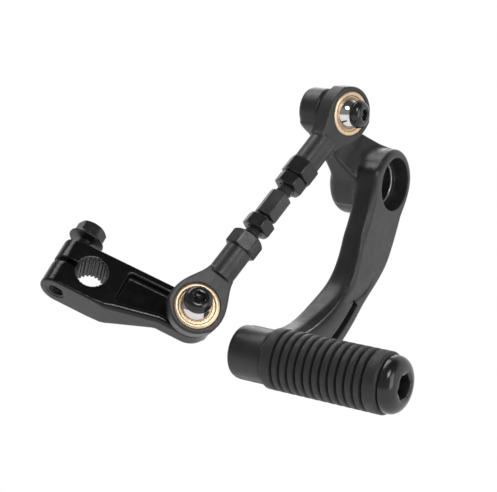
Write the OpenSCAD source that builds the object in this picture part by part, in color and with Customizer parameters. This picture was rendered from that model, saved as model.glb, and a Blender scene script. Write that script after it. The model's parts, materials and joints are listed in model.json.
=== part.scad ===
// Motorcycle gear shift lever with its ball-jointed link rod and splined clamp arm.
// Millimetres. The origin is the middle of the pivot bore. The pivot runs along Y,
// the rubber peg points to -Y, and +Z is up as the assembly lies in its picture.

/* [Pivot hub] */
// Outside diameter of the pivot hub
hub_d = 27; // [25.5:0.5:29]
// Length of the pivot hub along the pivot
hub_len = 23; // [21:0.5:27]
// Radius of the rounded front rim of the hub
hub_rim_r = 2; // [1:0.25:2.25]
// Radius of the rounded rear rim of the hub
hub_rear_rim_r = 4; // [1:0.5:4]
// Diameter of the seal recess at each end of the hub
recess_d = 20.6; // [19.6:0.2:21.4]
// Depth of each seal recess
recess_depth = 6; // [2:0.5:7]
// Bore of the pivot bush
bush_bore = 15.2; // [14:0.2:15.8]
// Wall of the pivot bush
bush_wall = 1; // [0.8:0.1:1.6]

/* [Lever arm] */
// Width of the arm where it leaves the hub
arm_root_w = 25; // [22:0.5:26]
// Width of the arm in its bend
arm_waist_w = 13.5; // [12:0.5:18]
// Width of the arm where it meets the peg boss
arm_tip_w = 17.5; // [14:0.5:18.5]
// Thickness of the arm near the hub
arm_root_t = 10; // [8:0.5:14]
// Thickness of the arm at the peg boss
arm_tip_t = 13.8; // [11:0.1:13.8]
// How far the arm's inner side runs up the hub above its start
arm_root_rise = 3; // [2:0.5:6]
// How far the arm runs straight down before it bends
arm_drop = 25.5; // [22:0.5:32]
// How far the arm sweeps in towards the peg boss
arm_sweep = 43.4; // [38:0.2:46]
// How far the sweep hooks below the peg boss
arm_hook = 22.2; // [18:0.2:26]
// Width of the rounded front edge on the inner side of the arm, near the hub
arm_edge_w = 2.6; // [1.5:0.1:3.5]
// Width of the same edge in the bend and near the peg
arm_bend_edge_w = 4.2; // [3:0.1:5]
// Depth of the crease along the inner side of the arm, where it nears the peg
arm_crease = 4.2; // [3.5:0.1:5.5]
// How far the inner side stands out behind the crease
arm_flare = 0.8; // [0.2:0.1:1.5]
// Depth of the scoop where the groove begins
scoop_depth = 0.6; // [0.3:0.1:1]
// Width of the groove in the outer face of the arm
groove_w = 3.2; // [1.4:0.1:3.4]
// Depth of the groove in the outer face of the arm
groove_depth = 3; // [1:0.2:4]
// Thickness of the rim left outside the groove
groove_rim = 3.9; // [2.4:0.1:4.4]

/* [Rod boss and web] */
// Rod boss ahead of (-) or behind (+) the pivot
rod_boss_x = -25; // [-28:0.5:-22]
// Rod boss above the pivot
rod_boss_z = 30.8; // [29.5:0.1:32.5]
// Diameter of the rod boss
rod_boss_d = 16.6; // [15.8:0.2:19]
// Length of the rod boss along the pivot direction
rod_boss_len = 9; // [7:0.5:10]
// Hollow of the front side of the web between hub and boss
web_hollow_front = 2; // [0.2:0.1:3]
// Hollow of the rear side of the web between hub and boss
web_hollow_rear = 3.4; // [1:0.1:4.5]

/* [Peg] */
// Peg axis ahead of (-) or behind (+) the pivot
peg_x = -84.4; // [-92:0.5:-80]
// Peg axis above the pivot
peg_z = -46.5; // [-52:0.5:-42]
// Diameter of the peg boss
peg_boss_d = 18.9; // [18:0.3:21]
// Length of the peg boss
peg_boss_len = 14; // [14:0.5:18]
// Outside diameter of the metal core of the peg
core_d = 15.8; // [15:0.2:16.6]
// Length of the metal core of the peg
core_len = 46.6; // [40:0.2:56]
// Outside diameter of the peg rubber
rubber_d = 21.8; // [21:0.2:25]
// Number of grooves around the peg rubber
groove_n = 12; // [8:1:12]
// Smooth band of rubber next to the dome
rubber_front_band = 4.87; // [3:0.01:6]
// Width of a rubber groove at its mouth
rib_gap_w = 1.1; // [0.7:0.1:1.4]
// Depth of a rubber groove
rib_gap_depth = 1.2; // [0.6:0.1:1.6]
// Smooth band of rubber next to the boss
rubber_rear_band = 4.3; // [3:0.1:6]
// Thread diameter of the peg bolt
peg_bolt_d = 12; // [10:1:12]
// Diameter of the domed head of the peg bolt
dome_d = 20; // [18:0.5:21]
// Height of the domed head of the peg bolt
dome_h = 5.25; // [5:0.25:8]
// Hexagon socket of the peg bolt, across flats
dome_socket = 8; // [6:1:8]

/* [Ball joints] */
// Diameter of the ball
ball_d = 12.7; // [11.5:0.1:13]
// Width of the ball along its bolt
ball_w = 9; // [8.6:0.1:9.4]
// Running gap between the ball and its liner
ball_gap = 0.04; // [0.02:0.01:0.08]
// Outside diameter of the brass liner
liner_d = 16.5; // [15.5:0.1:16.8]
// Diameter of the ring of the rod end
ring_d = 20; // [19.4:0.2:22]
// Thickness of the ring of the rod end
ring_t = 6.75; // [6:0.05:7]
// Thread diameter of the rods and ball screws
thread_d = 6; // [5:0.5:6]
// Gap between a ball's bore and its screw
screw_gap = 0.05; // [0.03:0.01:0.1]
// Thickness of the spacer behind the ball
spacer_t = 2.4; // [2.2:0.1:4]
// Diameter of the spacers beside the ball
spacer_d = 8.4; // [7.6:0.1:8.6]
// Thickness of the small washer under a screw head
washer_t = 0.8; // [0.8:0.1:1.4]
// Head diameter of the ball screws
screw_head_d = 10.5; // [9.5:0.1:10.7]
// Head height of the ball screws
screw_head_h = 3.3; // [2.8:0.1:4]
// Hexagon socket of the ball screws, across flats
screw_socket = 4; // [3:0.5:4]

/* [Link rod] */
// Ball centre to threaded end of a rod end
rod_end_len = 33; // [31:0.5:35]
// Diameter of the shank of a rod end
shank_d = 10; // [9:0.2:10.4]
// Length of the hexagon collar of a rod end
collar_len = 7; // [5:0.5:9]
// Hexagon collar of a rod end, across flats
collar_af = 11; // [10:0.25:11.5]
// Where the tapering neck of a rod end meets its shank, from the ball centre
neck_reach = 12.5; // [12:0.25:15]
// Where the flat faces of a rod end stop, from the ball centre
flat_reach = 15; // [14.5:0.5:18]
// Hexagon of the jam nuts, across flats
nut_af = 10; // [9:0.25:11]
// Height of the jam nuts
nut_h = 5; // [4:0.25:5.5]
// Hexagon of the link, across flats
link_af = 8; // [7:0.25:9]
// Length of the hexagon of the link
link_hex_len = 10.5; // [9:0.25:11]
// Bare thread between the lower rod end and its jam nut
lower_thread_gap = 3; // [2.5:0.25:3.5]
// Length of the neck between the lower jam nut and the hexagon
neck_len = 1.2; // [0.8:0.1:2]
// Length of thread screwed into each rod end
thread_reach = 13; // [10:0.5:15]

/* [Link placement] */
// Upper ball centre along the pivot direction
upper_ball_y = -3.3; // [-5:0.1:-3.2]
// Lower ball centre ahead of (-) or behind (+) the pivot
lower_ball_x = -94.5; // [-95:0.1:-93.4]
// Lower ball centre along the pivot direction
lower_ball_y = 15; // [14:0.1:15.4]
// Lower ball centre above the pivot
lower_ball_z = -30.1; // [-31:0.1:-29.6]
// Roll of the upper ring about the rod
upper_roll = -2.2; // [-6:0.1:0]
// Roll of the lower ring about the rod
lower_roll = -37.9; // [-40:0.1:-36]

/* [Clamp arm] */
// First turn of the clamp arm, about X
crank_turn_x = 41.3; // [40:0.1:43]
// Second turn of the clamp arm, about Y
crank_turn_y = 24.7; // [23:0.1:26]
// Third turn of the clamp arm, about Z
crank_turn_z = -65.9; // [-68:0.1:-64]
// Spline bore centre to ball screw centre
crank_len = 38.9; // [37:0.1:44]
// Ball screw above the line through the spline bore
crank_rise = 2.2; // [0:0.1:4]
// Thickness of the clamp end
clamp_t = 14; // [12.5:0.5:16]
// Thickness of the ball end
foot_t = 8; // [7:0.5:10]
// Bore centre to the upper side of the clamp end
clamp_upper = 9.3; // [9:0.1:12]
// Bore centre to the lower side of the clamp end
clamp_lower = 10; // [9.2:0.1:12]
// Length of the rounded nose ahead of the pinch bolt axis
nose_len = 6.3; // [5.5:0.1:7]
// Width of the arm at the ball screw
foot_w = 15.4; // [14.8:0.2:18]
// Crest diameter of the splines in the bore
spline_crest_d = 10.6; // [10.2:0.1:10.7]
// Depth of the spline grooves
spline_depth = 0.4; // [0.3:0.02:0.44]
// Number of splines
spline_n = 24; // [20:1:30]
// Width of the clamp slot
slot_w = 1.8; // [1.2:0.1:2.4]
// Bore centre to pinch bolt axis
pinch_offset = 8.8; // [8.8:0.1:10]
// Thread diameter of the pinch bolt
pinch_d = 6; // [5:0.5:6]
// Length of the pinch bolt under its flange
pinch_len = 20; // [18:0.5:24]
// How far the pinch bolt is unscrewed
pinch_out = 4.2; // [2:0.1:6]
// Diameter of the flange of the pinch bolt
pinch_flange_d = 13.6; // [12:0.2:14.4]
// Hexagon head of the pinch bolt, across flats
pinch_af = 10; // [8:0.5:10.5]
// Height of the hexagon head of the pinch bolt
pinch_head_h = 4.6; // [4:0.1:6]
// Depth of the pocket in the face of the arm
pocket_depth = 3.4; // [2:0.2:3.8]
// Wall beside the pocket
pocket_wall = 3; // [2.4:0.1:3.6]
// Corner radius of the pocket
pocket_r = 1.4; // [0.8:0.1:2]

/* [Hidden] */

// Overshoot of a cut past a face
eps = 0.5;
// Rounding of small edges on turned pieces
edge = 0.5;
// Tip of the internal bore of a threaded hole
hole_d = thread_d;

hub_front = -hub_len / 2;
hub_rear = hub_len / 2;
bush_d = bush_bore + 2 * bush_wall;
bush_len = hub_len - 2 * recess_depth;

// The bolt stack on each ball, measured along the bolt from the ball centre
seat_drop = ball_w / 2 + spacer_t;
head_rise = ball_w / 2 + washer_t;
rod_boss_front = upper_ball_y + seat_drop;
rod_boss_rear = rod_boss_front + rod_boss_len;
upper_screw_len = head_rise + seat_drop + rod_boss_len - 0.5;
lower_screw_len = head_rise + seat_drop + foot_t - 0.5;

// The rod, from the lower ball to the upper ball
upper_ball = [rod_boss_x, upper_ball_y, rod_boss_z];
lower_ball = [lower_ball_x, lower_ball_y, lower_ball_z];
rod_vec = upper_ball - lower_ball;
rod_len = norm(rod_vec);
rod_lean = acos(rod_vec.z / rod_len);
rod_heading = atan2(rod_vec.y, rod_vec.x);

// Stations along the rod, from the lower ball
lower_nut_z = rod_end_len + lower_thread_gap;
hex_z = lower_nut_z + nut_h + neck_len;
upper_end_z = rod_len - rod_end_len;

// The spine of the arm is a cubic curve from the hub to the peg boss
arm_start = [-1.3, 3];
peg_axis = [peg_x, peg_z];
spine = [arm_start, arm_start + [-0.24, -1] * arm_drop,
    peg_axis + [arm_sweep, -arm_hook], peg_axis];
arm_steps = 26;
root_taper = 0.93;
arm_widths = [[0, arm_root_w], [0.28, arm_root_w - 0.8], [0.5, arm_waist_w],
    [1, arm_tip_w]];
arm_depths = [[0, arm_root_t], [0.33, arm_root_t], [0.62, arm_tip_t], [1, arm_tip_t]];
// Depth of the crease along the arm, and how far its front lobe turns in before it
crease_depths = [[0, arm_edge_w], [0.25, arm_edge_w], [0.36, arm_crease / 3],
    [0.5, arm_crease / 2], [0.7, arm_crease], [1, arm_crease]];
edge_widths = [[0, arm_edge_w], [0.4, arm_edge_w], [0.62, arm_bend_edge_w],
    [1, arm_bend_edge_w]];
lobe_turns = [[0, 1], [0.25, 1], [0.36, 0.6], [0.8, 0.6], [1, 1]];
flare_rise = [[0, 0], [0.5, 0], [0.68, 1], [0.85, 1], [1, 0]];
scoop_r = 18;
scoop_centre = [-28.5, -22];
rubber_gap = 0.4;
groove_pitch = (core_len - 2 * rubber_gap - rubber_rear_band - rubber_front_band
    - rib_gap_w) / (groove_n - 1);

// Clamp arm frame: origin at the lower ball, X from the bore to the ball, Z outwards
crank_face = -seat_drop;
clamp_mid = crank_face - clamp_t / 2;
pinch_x = -crank_len - pinch_offset;
spline_root_d = spline_crest_d + 2 * spline_depth;
clamp_inner_x = -crank_len + 9.6;
taper_end_x = -10;
pocket_bore_x = -crank_len + spline_root_d / 2 + 6.2;
foot_pad_r = 7;

function bezier(t) = let (s = 1 - t)
    s * s * s * spine[0] + 3 * s * s * t * spine[1]
    + 3 * s * t * t * spine[2] + t * t * t * spine[3];
function slope(t) = let (s = 1 - t)
    3 * s * s * (spine[1] - spine[0]) + 6 * s * t * (spine[2] - spine[1])
    + 3 * t * t * (spine[3] - spine[2]);
// Looks t up in a table, with an even slope at each entry
function eased(t, table) =
    let (i = max([for (k = [0 : len(table) - 2]) if (t >= table[k][0]) k]),
        a = table[i], b = table[i + 1], s = (t - a[0]) / (b[0] - a[0]))
    a[1] + (b[1] - a[1]) * s * s * (3 - 2 * s);
// Unit vector across the arm, pointing to its inner, upper side
function across(t) = let (v = slope(t)) [v.y, -v.x] / norm(v);
function arc(centre, r, from, to, n) =
    [for (i = [0 : n]) let (a = from + (to - from) * i / n) centre + r * [cos(a), sin(a)]];

// Section of the arm: x across it, y along the pivot from the outer face. The inner
// side is a front lobe, a crease at the depth c and a rear lobe that stands out.
function arm_section(w, d, c, edge_w, turn, flare) =
    let (h = w / 2, front = hub_front, rear = hub_front + d, outer_r = 1.2,
        rear_r = min(3, 0.3 * d), peak = min(c + 0.55 * (d - c), d - rear_r),
        back_turn = (1 - turn) / turn, end = 90 + asin(back_turn),
        crease_x = h - edge_w + edge_w * sin(end))
    concat(
        arc([-h + outer_r, front + outer_r], outer_r, 180, 270, 3),
        [for (i = [0 : 7]) let (a = end * i / 7)
            [h - edge_w + edge_w * sin(a), front + c * turn * (1 - cos(a))]],
        [for (i = [1 : 4]) let (q = i / 4)
            [crease_x + (h + flare - crease_x) * (1 - (1 - q) * (1 - q)),
                front + c + (peak - c) * q]],
        arc([h + flare - rear_r, rear - rear_r], rear_r, 0, 90, 4),
        arc([-h + 2, rear - 2], 2, 90, 180, 3));

function arm_ring(t) =
    let (c = bezier(t), n = across(t),
        section = arm_section(eased(t, arm_widths), eased(t, arm_depths),
            eased(t, crease_depths), eased(t, edge_widths), eased(t, lobe_turns),
            arm_flare * eased(t, flare_rise)))
    [for (p = section) [c.x + n.x * p.x, p.y, c.y + n.y * p.x]];

// Places children on the rod axis: origin at the lower ball, Z along the rod
module on_rod() {
    translate(lower_ball) rotate([0, rod_lean, rod_heading]) children();
}

// Places children in a rod end: Z towards its thread, Y through its ring
module at_lower_end() {
    on_rod() rotate([0, 0, lower_roll]) children();
}

module at_upper_end() {
    on_rod() translate([0, 0, rod_len]) rotate([0, 0, upper_roll]) rotate([0, 180, 0])
        children();
}

// Places children on a ball screw: Z towards the screw head, origin at the ball
module on_upper_screw() {
    translate(upper_ball) rotate([90, 0, 0]) children();
}

module on_lower_screw() {
    translate(lower_ball) rotate([crank_turn_x, crank_turn_y, crank_turn_z]) children();
}

// A solid of revolution along -Y, from the front of the hub, on the peg axis
module on_peg() {
    translate([peg_x, hub_front, peg_z]) rotate([90, 0, 0]) children();
}

// A cylinder with its two rims chamfered
module chamfered(d, h, c) {
    rotate_extrude($fn = 64)
        polygon([[0, 0], [d / 2 - c, 0], [d / 2, c], [d / 2, h - c], [d / 2 - c, h], [0, h]]);
}

// A cylinder with its two rims rounded, the one at its base to base_r if given
module rounded_disc(d, h, r, base_r = 0) {
    low_r = base_r > 0 ? base_r : r;
    rotate_extrude($fn = 64)
        polygon(concat([[0, 0]], arc([d / 2 - low_r, low_r], low_r, 270, 360, 6),
            arc([d / 2 - r, h - r], r, 0, 90, 4), [[0, h]]));
}

// A hexagon prism whose corners are turned away at both ends
module turned_hex(af, h, c) {
    corner_d = af / cos(30);
    intersection() {
        cylinder(d = corner_d, h = h, $fn = 6);
        chamfered(corner_d, h, c);
    }
}

module hex_socket(af, depth) {
    cylinder(d = af / cos(30), h = depth, $fn = 6);
}

// The inner side of the arm runs on past its start, up the side of the hub
function root_ring() =
    let (n = across(0), up = -slope(0) / norm(slope(0)) * arm_root_rise)
    [for (p = arm_ring(0)) let (x = ([p.x, p.z] - spine[0]) * n * root_taper,
        c = spine[0] + up + n * x) [c.x, p.y, c.y]];

module arm_sweep_solid() {
    rings = concat([root_ring()], [for (i = [0 : arm_steps]) arm_ring(i / arm_steps)]);
    n = len(rings[0]);
    last = (arm_steps + 1) * n;
    polyhedron(
        points = [for (ring = rings) each ring],
        faces = concat(
            [[for (j = [0 : n - 1]) j]],
            [[for (j = [n - 1 : -1 : 0]) last + j]],
            [for (i = [0 : arm_steps], j = [0 : n - 1])
                let (a = i * n + j, b = i * n + (j + 1) % n) [a + n, b + n, b]],
            [for (i = [0 : arm_steps], j = [0 : n - 1])
                let (a = i * n + j, b = i * n + (j + 1) % n) [a + n, b, a]]));
}

// Groove along the lower edge of the outer face
module arm_groove() {
    from = 0.5;
    to = 0.86;
    steps = 12;
    ts = [for (i = [0 : steps]) from + (to - from) * i / steps];
    function side(t, inset) = bezier(t) - across(t) * (eased(t, arm_widths) / 2 - inset);
    outline = concat([for (t = ts) side(t, groove_rim)],
        [for (i = [steps : -1 : 0]) side(ts[i], groove_rim + groove_w)]);
    translate([0, hub_front + groove_depth, 0]) rotate([90, 0, 0])
        linear_extrude(groove_depth + eps) polygon(outline);
}

// Shallow slope in the outer face that ends in a curved step where the groove begins
module arm_scoop() {
    top = scoop_centre.y - 11;
    bottom = scoop_centre.y - scoop_r;
    intersection() {
        translate([scoop_centre.x, hub_front + 2, scoop_centre.y]) rotate([90, 0, 0])
            cylinder(r = scoop_r, h = 4, $fn = 96);
        translate([scoop_centre.x - scoop_r, 0, 0]) rotate([90, 0, 90])
            linear_extrude(2 * scoop_r)
                polygon([[hub_front - 1, top], [hub_front, top],
                    [hub_front + scoop_depth, bottom], [hub_front - 1, bottom]]);
    }
}

// An arc from a to b that bows to the left of the way by the height h
function bow(a, b, h, n) =
    let (d = b - a, len = norm(d), r = (len * len / 4 + h * h) / (2 * h),
        half = asin(len / 2 / r), side = [-d.y, d.x] / len,
        centre = (a + b) / 2 - side * (r - h))
    [for (i = [0 : n]) let (t = half * (2 * i / n - 1))
        centre + side * r * cos(t) + d / len * r * sin(t)];

// The web between hub and rod boss: hollow sides and a ramp on its outer face
module rod_web() {
    gap = norm([rod_boss_x, rod_boss_z]);
    u = [rod_boss_x, rod_boss_z] / gap;
    n = [u.y, -u.x];
    hub_r = hub_d / 2;
    boss_r = rod_boss_d / 2;
    lean = asin((hub_r - boss_r) / gap);
    boss = [rod_boss_x, rod_boss_z];
    front = n * cos(lean) + u * sin(lean);
    rear = -n * cos(lean) + u * sin(lean);
    // The sides end a little inside the hub and the boss
    sunk = 0.4;
    outline = concat(
        bow(front * (hub_r - sunk), boss + front * (boss_r - sunk), web_hollow_front, 10),
        bow(boss + rear * (boss_r - sunk), rear * (hub_r - sunk), web_hollow_rear, 10));
    ramp_top = gap - boss_r - 7;
    intersection() {
        translate([0, hub_rear + hub_r, 0]) rotate([90, 0, 0])
            linear_extrude(hub_len + hub_r) polygon(outline);
        // Seen along the plane of the web: x is the distance from the pivot
        rotate([0, -atan2(u.y, u.x), 0]) translate([0, 0, -hub_d])
            linear_extrude(2 * hub_d)
                polygon(concat([[0, hub_rear - 2], [hub_r, hub_rear - 2],
                    [gap - boss_r, rod_boss_rear - 0.3], [gap, rod_boss_rear - 0.3],
                    [gap, rod_boss_front]],
                    arc([ramp_top, rod_boss_front - 12], 12, 90, 132, 5),
                    [[hub_r - 7.5, hub_front + 4.3], [0, hub_front + 4.3]]));
    }
}

module hub_blank() {
    translate([0, hub_rear, 0]) rotate([90, 0, 0])
        rounded_disc(hub_d, hub_len, hub_rim_r, hub_rear_rim_r);
}

module pedal_lever() {
    color([0.16, 0.16, 0.17]) difference() {
        union() {
            hub_blank();
            arm_sweep_solid();
            rod_web();
            translate([rod_boss_x, rod_boss_rear, rod_boss_z]) rotate([90, 0, 0])
                rounded_disc(rod_boss_d, rod_boss_len, 1);
            translate([peg_x, hub_front + peg_boss_len, peg_z]) rotate([90, 0, 0])
                rounded_disc(peg_boss_d, peg_boss_len, edge + 0.7);
        }
        arm_groove();
        arm_scoop();
        // Pivot bore with a seal recess at each end
        rotate([90, 0, 0]) cylinder(d = bush_d, h = hub_len + 2, center = true, $fn = 64);
        for (end = [-1, 1]) {
            translate([0, end * (hub_len / 2 - recess_depth / 2 + eps / 2), 0])
                rotate([90, 0, 0])
                    cylinder(d = recess_d, h = recess_depth + eps, center = true, $fn = 64);
        }
        // Threaded hole of the ball screw
        translate([rod_boss_x, rod_boss_rear + eps, rod_boss_z]) rotate([90, 0, 0])
            cylinder(d = hole_d, h = rod_boss_len + 2 * eps, $fn = 48);
        // Threaded hole of the peg bolt
        translate([peg_x, hub_front + peg_boss_len - 2, peg_z]) rotate([90, 0, 0])
            cylinder(d = peg_bolt_d, h = peg_boss_len, $fn = 64);
    }
}

module pivot_bush() {
    color([0.45, 0.44, 0.42]) rotate([90, 0, 0]) difference() {
        cylinder(d = bush_d, h = bush_len, center = true, $fn = 64);
        cylinder(d = bush_bore, h = bush_len + 2, center = true, $fn = 64);
    }
}

module peg_core() {
    color([0.2, 0.2, 0.21]) on_peg() difference() {
        cylinder(d = core_d, h = core_len, $fn = 64);
        translate([0, 0, -1]) cylinder(d = peg_bolt_d, h = core_len + 2, $fn = 64);
    }
}

module peg_rubber() {
    start = rubber_gap;
    end = core_len - rubber_gap;
    r = rubber_d / 2;
    foot = rib_gap_w / 4;
    function gap_mid(i) = start + rubber_rear_band + rib_gap_w / 2 + i * groove_pitch;
    color([0.12, 0.12, 0.13]) on_peg() rotate_extrude($fn = 64)
        polygon(concat(
            [[core_d / 2, start], [r - 1.4, start], [r - 0.3, start + 1.2]],
            [for (i = [0 : groove_n - 1]) let (m = gap_mid(i)) each [
                [r, m - rib_gap_w / 2 - 0.3], [r - 0.3, m - rib_gap_w / 2],
                [r - rib_gap_depth, m - foot], [r - rib_gap_depth, m + foot],
                [r - 0.3, m + rib_gap_w / 2], [r, m + rib_gap_w / 2 + 0.3]]],
            [[r, end - 1.6], [r - 0.5, end - 0.6], [r - 1.4, end], [core_d / 2, end]]));
}

module peg_bolt() {
    // The dome is an arc that starts upright at its rim
    rim = 1.2;
    flat_r = dome_socket / cos(30) / 2 + 0.3;
    color([0.08, 0.08, 0.09]) on_peg() difference() {
        union() {
            translate([0, 0, core_len]) rotate_extrude($fn = 64)
                polygon(concat([[0, 0], [dome_d / 2 - 0.4, 0], [dome_d / 2, 0.4]],
                    [for (i = [0 : 8]) let (a = i * 90 / 8)
                        [flat_r + (dome_d / 2 - flat_r) * cos(a),
                            rim + (dome_h - rim) * sin(a)]],
                    [[0, dome_h]]));
            translate([0, 0, -peg_boss_len + 3])
                cylinder(d = peg_bolt_d, h = core_len + peg_boss_len - 3 + eps, $fn = 64);
        }
        translate([0, 0, core_len + dome_h - 4.6]) hex_socket(dome_socket, 5);
    }
}

// A ball cut flat on both sides and bored for its screw
module joint_ball() {
    difference() {
        intersection() {
            sphere(d = ball_d, $fn = 64);
            cube([ball_d + 2, ball_d + 2, ball_w], center = true);
        }
        cylinder(d = thread_d + 2 * screw_gap, h = ball_d, center = true, $fn = 48);
    }
}

module spacer() {
    translate([0, 0, -seat_drop]) difference() {
        cylinder(d = spacer_d, h = spacer_t, $fn = 48);
        translate([0, 0, -1]) cylinder(d = thread_d, h = spacer_t + 2, $fn = 48);
    }
}

module washer() {
    translate([0, 0, ball_w / 2]) difference() {
        cylinder(d = spacer_d, h = washer_t, $fn = 48);
        translate([0, 0, -1]) cylinder(d = thread_d, h = washer_t + 2, $fn = 48);
    }
}

module button_screw(shank_len) {
    flat_r = screw_socket / cos(30) / 2 + 0.5;
    difference() {
        union() {
            translate([0, 0, head_rise]) rotate_extrude($fn = 64)
                polygon(concat([[0, 0], [screw_head_d / 2 - 0.2, 0]],
                    [for (i = [0 : 6]) let (a = i * 90 / 6)
                        [flat_r + (screw_head_d / 2 - flat_r) * cos(a),
                            0.4 + (screw_head_h - 0.4) * sin(a)]],
                    [[0, screw_head_h]]));
            translate([0, 0, head_rise - shank_len])
                cylinder(d = thread_d, h = shank_len + eps, $fn = 48);
        }
        translate([0, 0, head_rise + screw_head_h - 2.2]) hex_socket(screw_socket, 3);
    }
}

module liner() {
    rotate([90, 0, 0]) difference() {
        cylinder(d = liner_d, h = ring_t, center = true, $fn = 64);
        sphere(d = ball_d + 2 * ball_gap, $fn = 64);
        // The mouth opens at both faces so that the ball can tip
        for (side = [0, 180]) {
            rotate([side, 0, 0]) translate([0, 0, ring_t / 2 - 0.5])
                cylinder(d1 = 10.6, d2 = 12.2, h = 0.6, $fn = 64);
        }
    }
}

module rod_end() {
    r = ring_d / 2;
    // Straight flanks run from the ring to the shank
    lean = asin((r - shank_d / 2) / neck_reach);
    difference() {
        union() {
            translate([0, ring_t / 2, 0]) rotate([90, 0, 0]) rounded_disc(ring_d, ring_t, 1.2);
            translate([0, ring_t / 2 - 0.4, 0]) rotate([90, 0, 0])
                linear_extrude(ring_t - 0.8)
                    polygon([[r * cos(lean), r * sin(lean)], [shank_d / 2, neck_reach],
                        [-shank_d / 2, neck_reach], [-r * cos(lean), r * sin(lean)]]);
            intersection() {
                translate([0, 0, r - 2]) cylinder(d = shank_d, h = flat_reach - r + 2.01, $fn = 48);
                translate([-r, -ring_t / 2, 0]) cube([2 * r, ring_t, 2 * flat_reach]);
            }
            translate([0, 0, flat_reach]) chamfered(shank_d, rod_end_len - flat_reach - 1, 0.6);
            translate([0, 0, rod_end_len - collar_len]) turned_hex(collar_af, collar_len, 0.9);
        }
        rotate([90, 0, 0]) cylinder(d = liner_d, h = ring_t + 2, center = true, $fn = 64);
        translate([0, 0, rod_end_len - thread_reach - 4])
            cylinder(d = thread_d + 0.1, h = thread_reach + 5, $fn = 48);
    }
}

module jam_nut() {
    difference() {
        turned_hex(nut_af, nut_h, 0.8);
        translate([0, 0, -1]) cylinder(d = thread_d + 0.1, h = nut_h + 2, $fn = 48);
    }
}

module link_rod() {
    top = upper_end_z + thread_reach;
    bottom = rod_end_len - thread_reach;
    color([0.22, 0.22, 0.23]) on_rod() union() {
        translate([0, 0, bottom]) chamfered(thread_d, hex_z - neck_len - bottom, 0.5);
        translate([0, 0, hex_z - neck_len - eps]) cylinder(d = thread_d - 0.9,
            h = neck_len + 2 * eps, $fn = 48);
        translate([0, 0, hex_z]) turned_hex(link_af, link_hex_len, 0.5);
        translate([0, 0, hex_z + link_hex_len - eps])
            chamfered(thread_d, top - hex_z - link_hex_len + eps, 0.5);
    }
}

// Outline of the clamp arm seen along the spline bore, cut back all round by inset
module crank_outline(inset) {
    end_x = pinch_x - nose_len - 1;
    r = foot_w / 2 - inset;
    top = clamp_upper - crank_rise - inset;
    bottom = -clamp_lower - crank_rise + inset;
    polygon(concat([[end_x, top], [end_x, bottom], [clamp_inner_x, bottom],
        [taper_end_x, -r]], arc([0, 0], r, 270, 450, 24)));
}

// Outline of the clamp arm seen along the pinch bolt, x along the arm and y outwards
module crank_profile() {
    back = crank_face - clamp_t;
    polygon(concat(
        [[foot_w, crank_face]],
        [for (a = [0 : 7.5 : 180])
            [pinch_x - nose_len * sin(a), clamp_mid + clamp_t / 2 * cos(a)]],
        [[clamp_inner_x + 2, back], [taper_end_x - 1, crank_face - foot_t],
            [foot_w, crank_face - foot_t]]));
}

module spline_cut() {
    crest = spline_crest_d / 2;
    root = spline_root_d / 2;
    pitch = 360 / spline_n;
    cylinder(r = crest, h = 3 * clamp_t, center = true, $fn = 96);
    linear_extrude(3 * clamp_t, center = true) for (i = [0 : spline_n - 1]) {
        rotate(i * pitch) polygon([for (p = [[crest - 0.3, -0.27], [root, -0.13],
            [root, 0.13], [crest - 0.3, 0.27]]) [p[0] * cos(p[1] * pitch),
            p[0] * sin(p[1] * pitch)]]);
    }
}

// Pocket in the face of the arm: its outline drawn in, from the bore to the foot pad
module pocket_cut() {
    translate([0, 0, crank_face - pocket_depth]) linear_extrude(pocket_depth + eps)
        difference() {
            intersection() {
                crank_outline(pocket_wall);
                translate([pocket_bore_x, -clamp_lower * 2])
                    square([-pocket_bore_x - 3, clamp_lower * 4]);
            }
            circle(r = foot_pad_r, $fn = 64);
            for (corner = [[pocket_bore_x, clamp_upper - crank_rise - pocket_wall, 270],
                    [pocket_bore_x, -clamp_lower - crank_rise + pocket_wall, 0]]) {
                translate([corner.x, corner.y]) rotate(corner.z) corner_fillet(pocket_r);
            }
        }
}

// What a rounded corner leaves in the corner at its origin, which opens to +X and +Y
module corner_fillet(r) {
    difference() {
        translate([-eps, -eps]) square(r + eps);
        translate([r, r]) circle(r = r, $fn = 32);
    }
}

module clamp_arm() {
    color([0.07, 0.07, 0.08]) on_lower_screw() difference() {
        intersection() {
            translate([0, 0, crank_face - clamp_t - 1]) linear_extrude(clamp_t + 2)
                crank_outline(0);
            rotate([90, 0, 0]) linear_extrude(4 * clamp_lower, center = true)
                crank_profile();
        }
        translate([-crank_len, -crank_rise, clamp_mid]) spline_cut();
        for (side = [0, 180]) {
            translate([-crank_len, -crank_rise, clamp_mid]) rotate([side, 0, 0])
                translate([0, 0, clamp_t / 2 - 0.6])
                    cylinder(d1 = spline_root_d - 0.2, d2 = spline_root_d + 1.2, h = 0.7,
                        $fn = 96);
        }
        // Clamp slot from the end to the bore
        translate([pinch_x - clamp_t, -crank_rise - slot_w / 2, clamp_mid - clamp_t])
            cube([clamp_t + pinch_offset, slot_w, 2 * clamp_t]);
        // Pinch bolt hole: clearance above the slot, thread below it
        translate([pinch_x, -crank_rise, clamp_mid]) rotate([-90, 0, 0])
            cylinder(d = pinch_d + 0.4, h = 2 * clamp_upper, $fn = 48);
        translate([pinch_x, -crank_rise, clamp_mid]) rotate([90, 0, 0])
            cylinder(d = pinch_d, h = 2 * clamp_lower, $fn = 48);
        pocket_cut();
        cylinder(d = thread_d, h = 4 * foot_t, center = true, $fn = 48);
    }
}

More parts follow.
